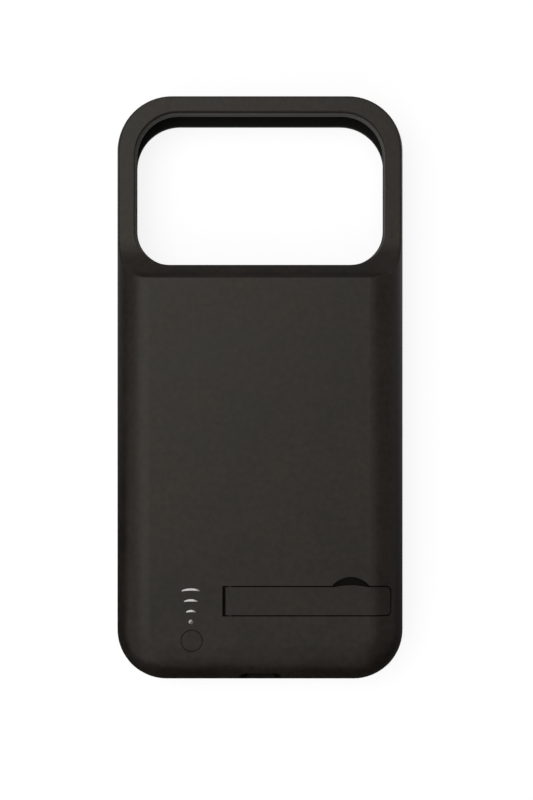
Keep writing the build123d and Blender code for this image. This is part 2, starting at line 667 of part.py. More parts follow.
def make_charge_port_shell():
    """Drawn metal tube of the charging socket, closed at the back, with solder tabs on the board."""
    front = port_front_y()
    back = front + PORT_DEPTH
    tube = lying_slot(PORT_WIDTH, PORT_HEIGHT, 0, PORT_Z, front, back)
    inner = lying_slot(
        PORT_WIDTH - 2 * PORT_SKIN, PORT_HEIGHT - 2 * PORT_SKIN, 0, PORT_Z, front, back - PORT_BACK
    )
    half = PORT_WIDTH / 2 + PORT_TAB
    for step in PORT_TAB_STEPS:
        low_y = back - step
        tube += block(-half, half, low_y, low_y + PORT_TAB, Z_BOARD_TOP, Z_BOARD_TOP + PORT_SKIN)
    return tube - inner


def make_charge_port_tongue():
    """Contact tongue in the socket."""
    width, height = PORT_TONGUE
    front = port_front_y()
    return block(
        -width / 2, width / 2, front + PORT_TONGUE_SETBACK, front + PORT_DEPTH - PORT_BACK,
        PORT_Z - height / 2, PORT_Z + height / 2,
    )


def make_riser_board():
    """Upright board from the chin to the charging board, notched under the socket."""
    half = RISER_WIDTH / 2
    board = block(-half, half, RISER_FRONT_Y - RISER, RISER_FRONT_Y, RISER_FOOT, Z_BOARD)
    notch = PORT_WIDTH / 2 + RISER_PORT_GAP
    notch_floor = PORT_Z - PORT_HEIGHT / 2 - RISER_PORT_GAP
    return board - block(-notch, notch, BOTTOM_Y, POCKET_LOW_Y, notch_floor, Z_BOARD)


def make_plug_base():
    """Hard block in the chin that carries the plug, with stepped shoulders round its root."""
    half = PLUG_BASE_WIDTH / 2
    low, high = PHONE_MID_Z - PLUG_BASE_HEIGHT / 2, PHONE_MID_Z + PLUG_BASE_HEIGHT / 2
    base = block(-half, half, RISER_FRONT_Y, PLUG_BASE_FACE_Y, low, high)
    base = fillet(base.edges().filter_by(Axis.Y), PLUG_BASE_ROUND)
    return base - lying_slot(PLUG_WIDTH, PLUG_HEIGHT, 0, PHONE_MID_Z, RISER_FRONT_Y, PLUG_BASE_FACE_Y)


def plug_ends():
    """Root and tip of the phone plug along Y."""
    return RISER_FRONT_Y, POCKET_LOW_Y + PLUG_REACH


def make_phone_plug_shell():
    """Drawn metal sleeve of the phone plug, with a rounded mouth."""
    root, tip = plug_ends()
    sleeve = lying_slot(PLUG_WIDTH, PLUG_HEIGHT, 0, PHONE_MID_Z, root, tip)
    sleeve = chamfer(sleeve.faces().sort_by(Axis.Y)[-1].edges(), PLUG_MOUTH_BEVEL)
    width, height = PLUG_WIDTH - 2 * PLUG_SKIN, PLUG_HEIGHT - 2 * PLUG_SKIN
    return sleeve - lying_slot(width, height, 0, PHONE_MID_Z, root, tip)


def make_phone_plug_core():
    """Moulded core of the phone plug with the slot for the phone's tongue."""
    root, tip = plug_ends()
    front = tip - PLUG_TONGUE_SETBACK
    width = PLUG_WIDTH - 2 * PLUG_SKIN
    core = lying_slot(width, PLUG_HEIGHT - 2 * PLUG_SKIN, 0, PHONE_MID_Z, root, front)
    slot_half = PORT_TONGUE[0] / 2
    return core - block(
        -slot_half, slot_half, front - PLUG_REACH + PORT_BACK, front,
        PHONE_MID_Z - PLUG_TONGUE_SLOT / 2, PHONE_MID_Z + PLUG_TONGUE_SLOT / 2,
    )


def make_battery_cell():
    """Pouch cell with rounded long edges and a thin sealed terrace at its lower end."""
    half = CELL_WIDTH / 2
    cell = block(-half, half, CELL_LOW_Y + TERRACE, CELL_HIGH_Y, Z_CELL, Z_CELL_TOP)
    cell = fillet(cell.edges().filter_by(Axis.Y), CELL_ROUND)
    inner = half - CELL_ROUND
    return cell + block(-inner, inner, CELL_LOW_Y, CELL_LOW_Y + TERRACE, Z_CELL, Z_CELL + TERRACE_THICK)


def make_battery_board():
    """Protection strip board on the cell's terrace."""
    low = Z_CELL + TERRACE_THICK
    mid_y = CELL_LOW_Y + TERRACE / 2
    half = STRIP_LENGTH / 2
    return block(-half, half, mid_y - STRIP_WIDTH / 2, mid_y + STRIP_WIDTH / 2, low, low + STRIP)


def make_battery_tape():
    """Adhesive pad between the cell and the inner plate."""
    half = CELL_WIDTH / 2 - TAPE_MARGIN
    return block(-half, half, CELL_LOW_Y + TAPE_MARGIN, CELL_HIGH_Y - TAPE_MARGIN, Z_BAY, Z_CELL)


def make_battery_lead(side):
    """Short lead from the strip board over to the charging board."""
    x = side * LEAD_SPACING / 2
    start = (x, CELL_LOW_Y + TERRACE / 2, Z_CELL + TERRACE_THICK + STRIP)
    end = (x, BOARD_END_Y - LEAD_INSET, Z_BOARD_TOP)
    top = max(start[2], end[2]) + LEAD_RISE + LEAD_RADIUS
    path = FilletPolyline(start, (x, start[1], top), (x, end[1], top), end, radius=LEAD_BEND)
    return sweep(Plane(start, z_dir=(0, 0, 1)) * Circle(LEAD_RADIUS), path)


def make_power_inductor():
    """Square coil block with rounded corners."""
    x = board_half() - INDUCTOR_FROM_RIGHT
    y = STAND_Y - WELL_WIDTH / 2 - WELL_WALL - INDUCTOR_WELL_GAP - INDUCTOR_SIDE / 2
    body = chip((x, y), (INDUCTOR_SIDE, INDUCTOR_SIDE, INDUCTOR_HEIGHT))
    return fillet(body.edges().filter_by(Axis.Z), INDUCTOR_ROUND)


def make_charge_chip():
    """Charging controller."""
    return chip(board_point(CHARGE_CHIP_PLACE), (CHARGE_CHIP_SIDE, CHARGE_CHIP_SIDE, CHIP_HEIGHT))


def make_boost_chip():
    """Step-up converter."""
    return chip(board_point(BOOST_CHIP_PLACE), (BOOST_CHIP_SIDE, BOOST_CHIP_SIDE, CHIP_HEIGHT))


def make_capacitors():
    """Ceramic capacitors on the board."""
    return Compound(children=[chip(board_point(place), CAPACITOR_SIZE) for place in CAPACITOR_PLACES])


def make_indicator_leds():
    """One light chip under each mark."""
    return Compound(children=[chip((LIGHT_X, y), LED_SIZE) for y in light_rows()])


def board_screw(x, y):
    """Pan-head screw through the board into its standoff."""
    head = post(x, y, BOARD_SCREW_HEAD_RADIUS, Z_BOARD_TOP, Z_BOARD_TOP + BOARD_SCREW_HEAD)
    head = chamfer(head.faces().sort_by(Axis.Z)[-1].edges(), BOARD_SCREW_BEVEL)
    return head + post(x, y, BOARD_SCREW_RADIUS, Z_BOARD - BOARD_SCREW_GRIP, Z_BOARD_TOP)


def make_board_screws():
    """The four board screws."""
    return Compound(children=[board_screw(x, y) for x, y in board_screw_places()])


def plate_screw(x, y):
    """Countersunk screw, flush with the plate's phone side."""
    cone = Pos(x, y, Z_PLATE + PLATE_SCREW_HEAD / 2) * Cone(
        PLATE_SCREW_HEAD_RADIUS, PLATE_SCREW_RADIUS, PLATE_SCREW_HEAD
    )
    return cone + post(x, y, PLATE_SCREW_RADIUS, Z_PLATE + PLATE_SCREW_HEAD, Z_BAY + PLATE_SCREW_GRIP)


def make_plate_screws():
    """The screws that hold the inner plate in the shell."""
    return Compound(children=[plate_screw(x, y) for x, y in plate_screw_places()])


PIECES = {
    "back_shell": make_back_shell,
    "inner_plate": make_inner_plate,
    "bumper_frame": make_bumper_frame,
    "kickstand": make_kickstand,
    "kickstand_pin": make_kickstand_pin,
    "power_button": make_power_button,
    "switch_can": make_switch_can,
    "switch_plunger": make_switch_plunger,
    "light_guide": make_light_guide,
    "indicator_leds": make_indicator_leds,
    "main_board": make_main_board,
    "charge_port_shell": make_charge_port_shell,
    "charge_port_tongue": make_charge_port_tongue,
    "riser_board": make_riser_board,
    "plug_base": make_plug_base,
    "phone_plug_shell": make_phone_plug_shell,
    "phone_plug_core": make_phone_plug_core,
    "battery_cell": make_battery_cell,
    "battery_board": make_battery_board,
    "battery_tape": make_battery_tape,
    "battery_lead_positive": lambda: make_battery_lead(1),
    "battery_lead_negative": lambda: make_battery_lead(-1),
    "power_inductor": make_power_inductor,
    "charge_chip": make_charge_chip,
    "boost_chip": make_boost_chip,
    "capacitors": make_capacitors,
    "board_screws": make_board_screws,
    "plate_screws": make_plate_screws,
}

os.makedirs("parts", exist_ok=True)
for node, make in PIECES.items():
    export_step(make(), f"parts/{node}.step")
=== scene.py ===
"""Dresses the battery charging case and sets its studio.

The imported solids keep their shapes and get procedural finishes. Contacts, chip legs, capacitor ends and
screws, which repeat, are made with Geometry Nodes, and the screws stand for their plain solids.
"""
import json
import logging
import math
from collections.abc import Sequence
from dataclasses import dataclass, replace
from enum import Enum
from functools import cached_property, reduce
from typing import ClassVar

import bmesh
import bpy
from mathutils import Matrix, Vector


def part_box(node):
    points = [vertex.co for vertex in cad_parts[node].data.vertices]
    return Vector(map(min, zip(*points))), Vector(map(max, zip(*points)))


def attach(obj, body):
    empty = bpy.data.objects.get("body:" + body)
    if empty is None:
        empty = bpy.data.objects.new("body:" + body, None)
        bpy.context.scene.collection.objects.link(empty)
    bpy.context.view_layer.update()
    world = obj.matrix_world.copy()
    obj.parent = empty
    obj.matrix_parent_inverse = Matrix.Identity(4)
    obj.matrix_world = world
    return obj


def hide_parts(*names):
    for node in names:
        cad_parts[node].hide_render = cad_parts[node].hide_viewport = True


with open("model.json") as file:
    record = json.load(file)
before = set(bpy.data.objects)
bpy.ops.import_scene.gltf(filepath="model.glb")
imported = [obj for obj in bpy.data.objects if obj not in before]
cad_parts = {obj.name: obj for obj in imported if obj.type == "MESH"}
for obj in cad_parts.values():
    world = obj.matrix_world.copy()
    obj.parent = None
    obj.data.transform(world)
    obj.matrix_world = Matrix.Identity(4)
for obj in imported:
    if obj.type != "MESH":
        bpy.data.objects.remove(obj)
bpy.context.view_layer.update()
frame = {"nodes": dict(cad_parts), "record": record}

# Lengths and places are in metres.
MM = 0.001
# Every piece that is added rides on the case itself, not on its stand or button.
CASE_BODY = "case"
# Points of a mesh that lie closer together than this are one point.
WELD = 1e-7
Colour = tuple[float, float, float]
Triple = tuple[float, float, float]
Range = tuple[float, float]
Box = tuple[Vector, Vector]
Socket = bpy.types.NodeSocket
RIGHT: Triple = (1.0, 0.0, 0.0)
FORWARD: Triple = (0.0, 1.0, 0.0)
UP: Triple = (0.0, 0.0, 1.0)
WHITE: Colour = (1.0, 1.0, 1.0)
RISING: Range = (0.0, 1.0)
FALLING: Range = (1.0, 0.0)
# Most of a noise pattern's values lie in this range.
MIDDLING: Range = (0.3, 0.7)
log = logging.getLogger("charging_case")


class Grain(Enum):
    """How a noise pattern is built up: octaves and how much each one adds."""

    SMOOTH = (1.0, 0.4)
    FINE = (3.0, 0.6)
    CLOUDY = (5.0, 0.55)


class Heads(Enum):
    """Which way the heads of screws look."""

    UP = "up"
    DOWN = "down"


class Nodes:
    """A node tree under construction."""

    def __init__(self, tree: bpy.types.NodeTree) -> None:
        """Takes the tree that the nodes go into."""
        self.tree = tree

    def add(self, kind: str, **settings: str | int | bool) -> bpy.types.Node:
        """Adds a node.

        Args:
            kind: Its kind.
            settings: Its properties.

        Returns:
            The node.
        """
        node = self.tree.nodes.new(kind)
        for name, value in settings.items():
            setattr(node, name, value)
        return node

    def put(self, value: Socket | float | Triple | bpy.types.ID, target: Socket) -> None:
        """Links an output to an input, or sets the input to a plain value.

        Args:
            value: An output, a number, a vector, a colour, a material or an object.
            target: The input.
        """
        if isinstance(value, Socket):
            self.tree.links.new(value, target)
        elif target.type == "RGBA":
            target.default_value = (*value, 1.0)
        else:
            target.default_value = value


class Paint(Nodes):
    """A tree of shader nodes, whose patterns all read Object coordinates."""

    def __init__(self, tree: bpy.types.NodeTree) -> None:
        """Takes the tree and opens its coordinates."""
        super().__init__(tree)
        self.place = self.add("ShaderNodeTexCoord").outputs["Object"]

    def fill(self, node: bpy.types.Node, *values: Socket | float | Triple) -> bpy.types.Node:
        """Fills a node's inputs in their order.

        Args:
            node: The node.
            values: Patterns, numbers, vectors or colours.

        Returns:
            The node.
        """
        for value, target in zip(values, node.inputs):
            self.put(value, target)
        return node

    def shader(self, kind: str, *values: Socket | float | Colour) -> Socket:
        """Shader whose inputs hold the given values, in their order."""
        return self.fill(self.add(kind), *values).outputs[0]

    def math(self, operation: str, *values: Socket | float) -> Socket:
        """Number worked out from one or two numbers."""
        return self.fill(self.add("ShaderNodeMath", operation=operation), *values).outputs["Value"]

    def measure(self, operation: str, *vectors: Socket | Triple) -> Socket:
        """Number worked out from one or two vectors."""
        return self.fill(self.add("ShaderNodeVectorMath", operation=operation), *vectors).outputs["Value"]

    def times(self, *values: Socket) -> Socket:
        """Product of two or more values."""
        return reduce(lambda first, second: self.math("MULTIPLY", first, second), values)

    def greatest(self, *values: Socket) -> Socket:
        """Greatest of one or more values."""
        return reduce(lambda first, second: self.math("MAXIMUM", first, second), values)

    def spread(self, value: Socket, start: Range, end: tuple[Socket | float, float] = RISING) -> Socket:
        """Maps a value from one range to another and holds it there.

        Args:
            value: The value.
            start: The range that it comes from, which may run downwards.
            end: The range that it goes to.

        Returns:
            The mapped value.
        """
        node = self.add("ShaderNodeMapRange", clamp=True)
        for name, number in zip(("From Min", "From Max", "To Min", "To Max"), start + end):
            self.put(number, node.inputs[name])
        self.put(value, node.inputs["Value"])
        return node.outputs["Result"]

    def along(self, direction: Triple) -> Socket:
        """Place along a direction, in metres."""
        return self.measure("DOT_PRODUCT", self.place, direction)

    def inside(self, low: Sequence[float], high: Sequence[float], soft: float) -> Socket:
        """Zone that lies in an upright box.

        Args:
            low: Lowest corner of the box, along X and Y, or along X, Y and Z.
            high: Its highest corner.
            soft: Width over which its edge fades, inwards.

        Returns:
            One inside the box, zero outside.
        """
        parts = []
        for axis, start, stop in zip((RIGHT, FORWARD, UP), low, high):
            place = self.along(axis)
            parts += [self.spread(place, (start, start + soft)), self.spread(place, (stop, stop - soft))]
        return self.times(*parts)


class Recipe(Paint):
    """One material under construction."""

    def __init__(self, name: str) -> None:
        """Starts a plain material.

        Args:
            name: Name of the material.
        """
        self.material = bpy.data.materials.new(name)
        self.material.use_nodes = True
        super().__init__(self.material.node_tree)
        self.surface = self.tree.nodes["Principled BSDF"]

    def give(self, **values: Socket | float | Colour) -> None:
        """Sets or links inputs of the surface.

        Args:
            values: Names of inputs, with underscores for blanks, and what goes in.
        """
        for name, value in values.items():
            self.put(value, self.surface.inputs[name.replace("_", " ")])

    def stretched(self, sizes: Triple) -> Socket:
        """Coordinates on which a pattern of unit size repeats at the given sizes.

        Args:
            sizes: Size of the pattern along X, Y and Z.

        Returns:
            The scaled coordinates.
        """
        mapping = self.add("ShaderNodeMapping")
        self.put(tuple(1.0 / size for size in sizes), mapping.inputs["Scale"])
        self.put(self.place, mapping.inputs["Vector"])
        return mapping.outputs["Vector"]

    def noise(self, size: float | Triple, grain: Grain = Grain.FINE) -> Socket:
        """Noise with features of about the given size.

        Args:
            size: Size of its largest features, or their sizes along X, Y and Z.
            grain: How it is built up.

        Returns:
            A value that varies about one half.
        """
        node = self.add("ShaderNodeTexNoise")
        even = isinstance(size, float)
        detail, gain = grain.value
        self.put(detail, node.inputs["Detail"])
        self.put(gain, node.inputs["Roughness"])
        self.put(1.0 / size if even else 1.0, node.inputs["Scale"])
        self.put(self.place if even else self.stretched(size), node.inputs["Vector"])
        return node.outputs["Fac"]

    def specks(self, spacing: float, radius: float, core: float = 0.4) -> Socket:
        """Scattered round specks.

        Args:
            spacing: Mean distance between them.
            radius: Their radius.
            core: Share of the radius within which a speck is full.

        Returns:
            One inside a speck, zero outside.
        """
        node = self.add("ShaderNodeTexVoronoi")
        self.put(1.0 / spacing, node.inputs["Scale"])
        self.put(self.place, node.inputs["Vector"])
        rim = radius / spacing
        return self.spread(node.outputs["Distance"], (rim, rim * core))

    def blend(self, share: Socket, first: Colour | Socket, second: Colour | Socket) -> Socket:
        """Mixes two colours.

        Args:
            share: How much of the second there is.
            first: A colour or a pattern.
            second: A colour or a pattern.

        Returns:
            The mixed colour.
        """
        node = self.add("ShaderNodeMix", data_type="RGBA")
        self.put(share, node.inputs["Factor"])
        colours = [socket for socket in node.inputs if socket.type == "RGBA"]
        for colour, target in zip((first, second), colours):
            self.put(colour, target)
        return next(socket for socket in node.outputs if socket.type == "RGBA")

    def scaled(self, colour: Socket, factor: Socket) -> Socket:
        """Multiplies a colour by a value.

        Args:
            colour: The colour.
            factor: The value.

        Returns:
            The product as a colour.
        """
        node = self.add("ShaderNodeVectorMath", operation="SCALE")
        self.put(colour, node.inputs[0])
        self.put(factor, node.inputs["Scale"])
        return node.outputs["Vector"]

    def edges(self, radius: float, turn: Range = (0.98, 0.86), samples: int = 6) -> Socket:
        """Rounds the look of sharp edges and finds them.

        Args:
            radius: How far from an edge its rounding reaches.
            turn: Cosines of the turn at which an edge starts to count, and counts in full.
            samples: How finely the rounding is worked out.

        Returns:
            One on an edge, zero on flat and gently curved faces.
        """
        node = self.add("ShaderNodeBevel", samples=samples)
        self.put(radius, node.inputs["Radius"])
        rounded = node.outputs["Normal"]
        self.give(Normal=rounded)
        sharp = self.add("ShaderNodeNewGeometry").outputs["Normal"]
        return self.spread(self.measure("DOT_PRODUCT", rounded, sharp), turn)

    def emboss(self, height: Socket, depth: float) -> None:
        """Raises a pattern as a bump on top of what is embossed already.

        Args:
            height: The pattern, from zero to one.
            depth: Its depth.
        """
        node = self.add("ShaderNodeBump")
        self.put(1.0, node.inputs["Strength"])
        self.put(depth, node.inputs["Distance"])
        self.put(height, node.inputs["Height"])
        below = self.surface.inputs["Normal"]
        if below.is_linked:
            self.put(below.links[0].from_socket, node.inputs["Normal"])
        self.give(Normal=node.outputs["Normal"])


def shade(colour: Colour, factor: float) -> Colour:
    """Colour made lighter or darker."""
    return tuple(channel * factor for channel in colour)


def about_one(swing: float) -> Range:
    """Range that reaches equally far below and above one."""
    return 1 - swing, 1 + swing


@dataclass(frozen=True)
class Well:
    """Kickstand's well with its thumb notch, from just under the hump's face down, where shade is painted.

    Its top slopes down with the right shoulder.
    """

    room_low: Triple = (1.2 * MM, 0.6 * MM, 2.0 * MM)
    room_right: float = 0.6 * MM
    room_notch: float = 3.2 * MM
    under_face: float = 0.35 * MM
    shoulder_width: float = 5.2 * MM
    shoulder_slope: float = 0.36
    soft: float = 0.3 * MM

    def share(self, recipe: Recipe) -> Socket:
        """Finds the well.

        Args:
            recipe: Material that it is part of.

        Returns:
            One in the well, zero outside.
        """
        low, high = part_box("kickstand")
        top = high.z - self.under_face
        corner = high.x + self.room_right, high.y + self.room_notch, top
        box = recipe.inside(low - Vector(self.room_low), corner, self.soft)
        limit = top + self.shoulder_slope * (high.x - self.shoulder_width)
        height = recipe.along((self.shoulder_slope, 0.0, 1.0))
        return recipe.times(box, recipe.spread(height, (limit, limit - self.soft)))


@dataclass(frozen=True)
class Mouth:
    """Opening with round ends through the bottom wall, in front of the charging socket, where shade is
    painted.
    """

    margin: float = 0.42 * MM
    soft: float = 0.1 * MM
    fade: float = 1.0 * MM

    def share(self, recipe: Recipe) -> Socket:
        """Finds the opening.

        Args:
            recipe: Material that it is part of.

        Returns:
            One in the opening, zero outside.
        """
        low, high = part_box("charge_port_shell")
        radius = (high.z - low.z) / 2
        straight = (high.x - low.x) / 2 - radius
        past = recipe.math("SUBTRACT", recipe.math("ABSOLUTE", recipe.along(RIGHT)), straight)
        aside = recipe.math("MAXIMUM", past, 0.0)
        above = recipe.math("SUBTRACT", recipe.along(UP), (low.z + high.z) / 2)
        squares = recipe.math("ADD", recipe.times(aside, aside), recipe.times(above, above))
        reach = radius + self.margin
        within = recipe.spread(recipe.math("SQRT", squares), (reach, reach - self.soft))
        depth = recipe.spread(recipe.along(FORWARD), (high.y, high.y + self.fade), FALLING)
        return recipe.times(within, depth)


@dataclass(frozen=True)
class MouldedPlastic:
    """Moulded plastic with a fine spark-eroded grain, faint clouds, rubbed edges that are also painted
    lighter as an edge highlight, and a little dust.

    Shade is painted in its hollows: they are darker, and metallic with that dark colour so that they hardly
    reflect.
    """

    name: str
    colour: Colour
    # Zones where shade is painted, and the dark colour painted there.
    painted_shade_zones: tuple[Well | Mouth, ...] = ()
    painted_shade_colour: Colour = (0.0075, 0.0071, 0.0060)
    clouds: float = 0.07
    cloud_size: float = 24.0 * MM
    mottle: float = 0.06
    mottle_size: float = 1.6 * MM
    speckle: float = 0.10
    speckle_range: Range = (0.25, 0.75)
    grain_size: float = 0.22 * MM
    grain_depth: float = 0.006 * MM
    peel_size: float = 0.9 * MM
    peel_depth: float = 0.010 * MM
    roughness: Range = (0.33, 0.41)
    specular: float = 0.4
    sheen_colour: Colour = WHITE
    dust: float = 0.35
    dust_colour: Colour = (0.30, 0.29, 0.27)
    dust_spacing: float = 11.0 * MM
    dust_radius: float = 0.16 * MM
    dust_patch: float = 33.0 * MM
    dust_range: Range = (0.52, 0.62)
    edge: float = 0.25 * MM
    wear: float = 0.45
    wear_least: float = 0.25
    wear_range: Range = (0.42, 0.62)
    wear_per_cloud: float = 0.25
    # Edges are painted this much lighter, for wear and as a painted edge highlight.
    edge_wear_and_highlight_lighter: float = 2.4
    worn_smoother: float = 0.10

    def build(self) -> bpy.types.Material:
        """Builds the plastic.

        Returns:
            Its material.
        """
        recipe = Recipe(self.name)
        edge_wear_and_highlight = self.edge_wear_and_highlight_share(recipe)
        clouds = recipe.noise(self.cloud_size, Grain.CLOUDY)
        grain = recipe.noise(self.grain_size)
        colour = self.clean_colour(recipe, clouds, grain)
        colour = recipe.blend(self.dust_share(recipe), colour, self.dust_colour)
        # Rubbed edges are painted lighter: wear, and a painted edge highlight.
        colour = recipe.blend(edge_wear_and_highlight, colour, shade(self.colour, self.edge_wear_and_highlight_lighter))
        if self.painted_shade_zones:
            # Painted shade: the well and the socket's opening are darkened, and made metallic in that dark
            # colour so they hardly reflect.
            hollow = recipe.greatest(*(zone.share(recipe) for zone in self.painted_shade_zones))
            colour = recipe.blend(hollow, colour, self.painted_shade_colour)
            recipe.give(Metallic=hollow)
        dull = recipe.spread(clouds, MIDDLING, self.roughness)
        smooth = recipe.spread(edge_wear_and_highlight, RISING, (1.0, 1 - self.worn_smoother))
        recipe.give(Base_Color=colour, Roughness=recipe.times(dull, smooth))
        recipe.give(Specular_IOR_Level=self.specular, Specular_Tint=self.sheen_colour)
        recipe.emboss(grain, self.grain_depth)
        recipe.emboss(recipe.noise(self.peel_size, Grain.SMOOTH), self.peel_depth)
        return recipe.material

    def clean_colour(self, recipe: Recipe, clouds: Socket, grain: Socket) -> Socket:
        """Colour of the plastic without dust and wear.

        Args:
            recipe: Material that it is part of.
            clouds: Its widest variation.
            grain: Its finest variation.

        Returns:
            The colour.
        """
        dark, light = (shade(self.colour, factor) for factor in about_one(self.clouds))
        base = recipe.blend(recipe.spread(clouds, MIDDLING), dark, light)
        speckle = recipe.spread(grain, self.speckle_range, about_one(self.speckle))
        spots = recipe.noise(self.mottle_size, Grain.CLOUDY)
        mottle = recipe.spread(spots, MIDDLING, about_one(self.mottle))
        return recipe.scaled(base, recipe.times(speckle, mottle))

    def dust_share(self, recipe: Recipe) -> Socket:
        """Finds specks of dust, which lie in patches.

        Args:
            recipe: Material that they lie on.

        Returns:
            Up to the dust's strength on a speck, zero elsewhere.
        """
        patches = recipe.noise(self.dust_patch, Grain.SMOOTH)
        specks = recipe.specks(self.dust_spacing, self.dust_radius)
        return recipe.times(specks, recipe.spread(patches, self.dust_range, (0.0, self.dust)))

    def edge_wear_and_highlight_share(self, recipe: Recipe) -> Socket:
        """Finds rubbed edges, which wear unevenly and also carry a painted edge highlight.

        Args:
            recipe: Material that they are part of.

        Returns:
            Up to the strength of the wear and its painted highlight on an edge, zero elsewhere.
        """
        patches = recipe.noise(self.cloud_size * self.wear_per_cloud)
        rubbed = recipe.spread(patches, self.wear_range, (self.wear_least * self.wear, self.wear))
        return recipe.times(recipe.edges(self.edge), rubbed)


@dataclass(frozen=True)
class DrawnMetal:
    """Drawn or plated metal with fine lines along one axis and a little tarnish."""

    name: str
    colour: Colour
    lines: Triple = (0.06 * MM, 2.0 * MM, 0.06 * MM)
    line_depth: float = 0.002 * MM
    roughness: Range = (0.24, 0.40)
    tarnish: float = 0.14
    tarnish_size: float = 1.6 * MM
    tarnish_range: Range = (0.35, 0.7)

    def build(self) -> bpy.types.Material:
        """Builds the metal.

        Returns:
            Its material.
        """
        recipe = Recipe(self.name)
        lines = recipe.noise(self.lines)
        stain = recipe.spread(recipe.noise(self.tarnish_size, Grain.CLOUDY), self.tarnish_range)
        recipe.give(
            Base_Color=recipe.blend(stain, self.colour, shade(self.colour, 1 - self.tarnish)),
            Roughness=recipe.spread(lines, MIDDLING, self.roughness),
            Metallic=1.0,
        )
        recipe.emboss(lines, self.line_depth)
        return recipe.material


@dataclass(frozen=True)
class MilkyGuide:
    """Milky light guide, with shade painted towards the right end of each arc and across the dot."""

    name: str
    colour: Colour = (0.95, 0.90, 0.875)
    guide_shade: Colour = (0.10, 0.098, 0.09)
    mottle: float = 0.10
    mottle_size: float = 0.5 * MM
    roughness: Range = (0.25, 0.40)
    milkiness: float = 0.15
    milk_depth: float = 0.4 * MM
    arc_lean: Triple = (1.0, -0.17, 0.0)
    arc_shade_span: Range = (-8.0 * MM, -6.6 * MM)
    dot_to_arcs: Range = (-63.0 * MM, -61.4 * MM)
    dot_lean: Triple = (1.0, -1.0, 0.0)
    dot_middle: Triple = (-18.50 * MM, -63.55 * MM, 0.0)
    dot_soft: float = 0.25 * MM
    dot_shade_range: Range = (0.32, 0.98)

    def build(self) -> bpy.types.Material:
        """Builds the guide.

        Returns:
            Its material.
        """
        recipe = Recipe(self.name)
        cloud = recipe.spread(recipe.noise(self.mottle_size), MIDDLING)
        milk = recipe.blend(cloud, self.colour, shade(self.colour, 1 - self.mottle))
        # Painted shade towards the right end of each arc.
        arcs = recipe.blend(recipe.spread(recipe.along(self.arc_lean), self.arc_shade_span), milk, self.guide_shade)
        # Painted shade across the dot, growing from one side to the other.
        dot = recipe.spread(recipe.along(FORWARD), self.dot_to_arcs, FALLING)
        middle = Vector(self.dot_lean).dot(Vector(self.dot_middle))
        across = middle - self.dot_soft, middle + self.dot_soft
        dimmed = recipe.times(dot, recipe.spread(recipe.along(self.dot_lean), across, self.dot_shade_range))
        recipe.give(
            Base_Color=recipe.blend(dimmed, arcs, self.guide_shade),
            Roughness=recipe.spread(cloud, RISING, self.roughness),
            Subsurface_Weight=self.milkiness,
            Subsurface_Scale=self.milk_depth,
        )
        return recipe.material


@dataclass(frozen=True)
class SolderMask:
    """Circuit board: weave under a lacquer, with fine traces."""

    name: str
    colour: Colour
    trace: Colour
    trace_sizes: Triple = (0.9 * MM, 3.5 * MM, 0.9 * MM)
    trace_range: Range = (0.50, 0.53)
    trace_depth: float = 0.02 * MM
    weave_size: float = 0.5 * MM
    weave_depth: float = 0.004 * MM
    roughness: Range = (0.28, 0.42)

    def build(self) -> bpy.types.Material:
        """Builds the board's surface.

        Returns:
            Its material.
        """
        recipe = Recipe(self.name)
        traces = recipe.spread(recipe.noise(self.trace_sizes, Grain.SMOOTH), self.trace_range)
        weave = recipe.noise(self.weave_size)
        recipe.give(
            Base_Color=recipe.blend(traces, self.colour, self.trace),
            Roughness=recipe.spread(weave, MIDDLING, self.roughness),
        )
        recipe.emboss(traces, self.trace_depth)
        recipe.emboss(weave, self.weave_depth)
        return recipe.material


@dataclass(frozen=True)
class PouchFoil:
    """Aluminium pouch film with a pressed grain and soft dents."""

    name: str
    colour: Colour
    metallic: float = 0.9
    dent_shade: float = 0.8
    dent_size: float = 9.0 * MM
    dent_depth: float = 0.12 * MM
    press_size: float = 0.6 * MM
    press_depth: float = 0.015 * MM
    roughness: Range = (0.30, 0.46)

    def build(self) -> bpy.types.Material:
        """Builds the film.

        Returns:
            Its material.
        """
        recipe = Recipe(self.name)
        dents = recipe.noise(self.dent_size, Grain.CLOUDY)
        press = recipe.noise(self.press_size, Grain.SMOOTH)
        recipe.give(
            Base_Color=recipe.blend(dents, self.colour, shade(self.colour, self.dent_shade)),
            Roughness=recipe.spread(press, MIDDLING, self.roughness),
            Metallic=self.metallic,
        )
        recipe.emboss(dents, self.dent_depth)
        recipe.emboss(press, self.press_depth)
        return recipe.material


# The shell has shade painted in the kickstand's well and in the charging socket's opening.
SATIN = MouldedPlastic(
    "shell_satin_charcoal", (0.0142, 0.0101, 0.0080), painted_shade_zones=(Well(), Mouth()), clouds=0.32,
    cloud_size=16.0 * MM, mottle=0.40, specular=0.32, sheen_colour=(0.97, 0.96, 0.85),
)
INSET_SATIN = replace(SATIN, colour=(0.0136, 0.0097, 0.0077), painted_shade_zones=())
CLEAN_MOULDING = MouldedPlastic("core_moulded_black", (0.016, 0.016, 0.016), grain_size=0.15 * MM, dust=0.0)


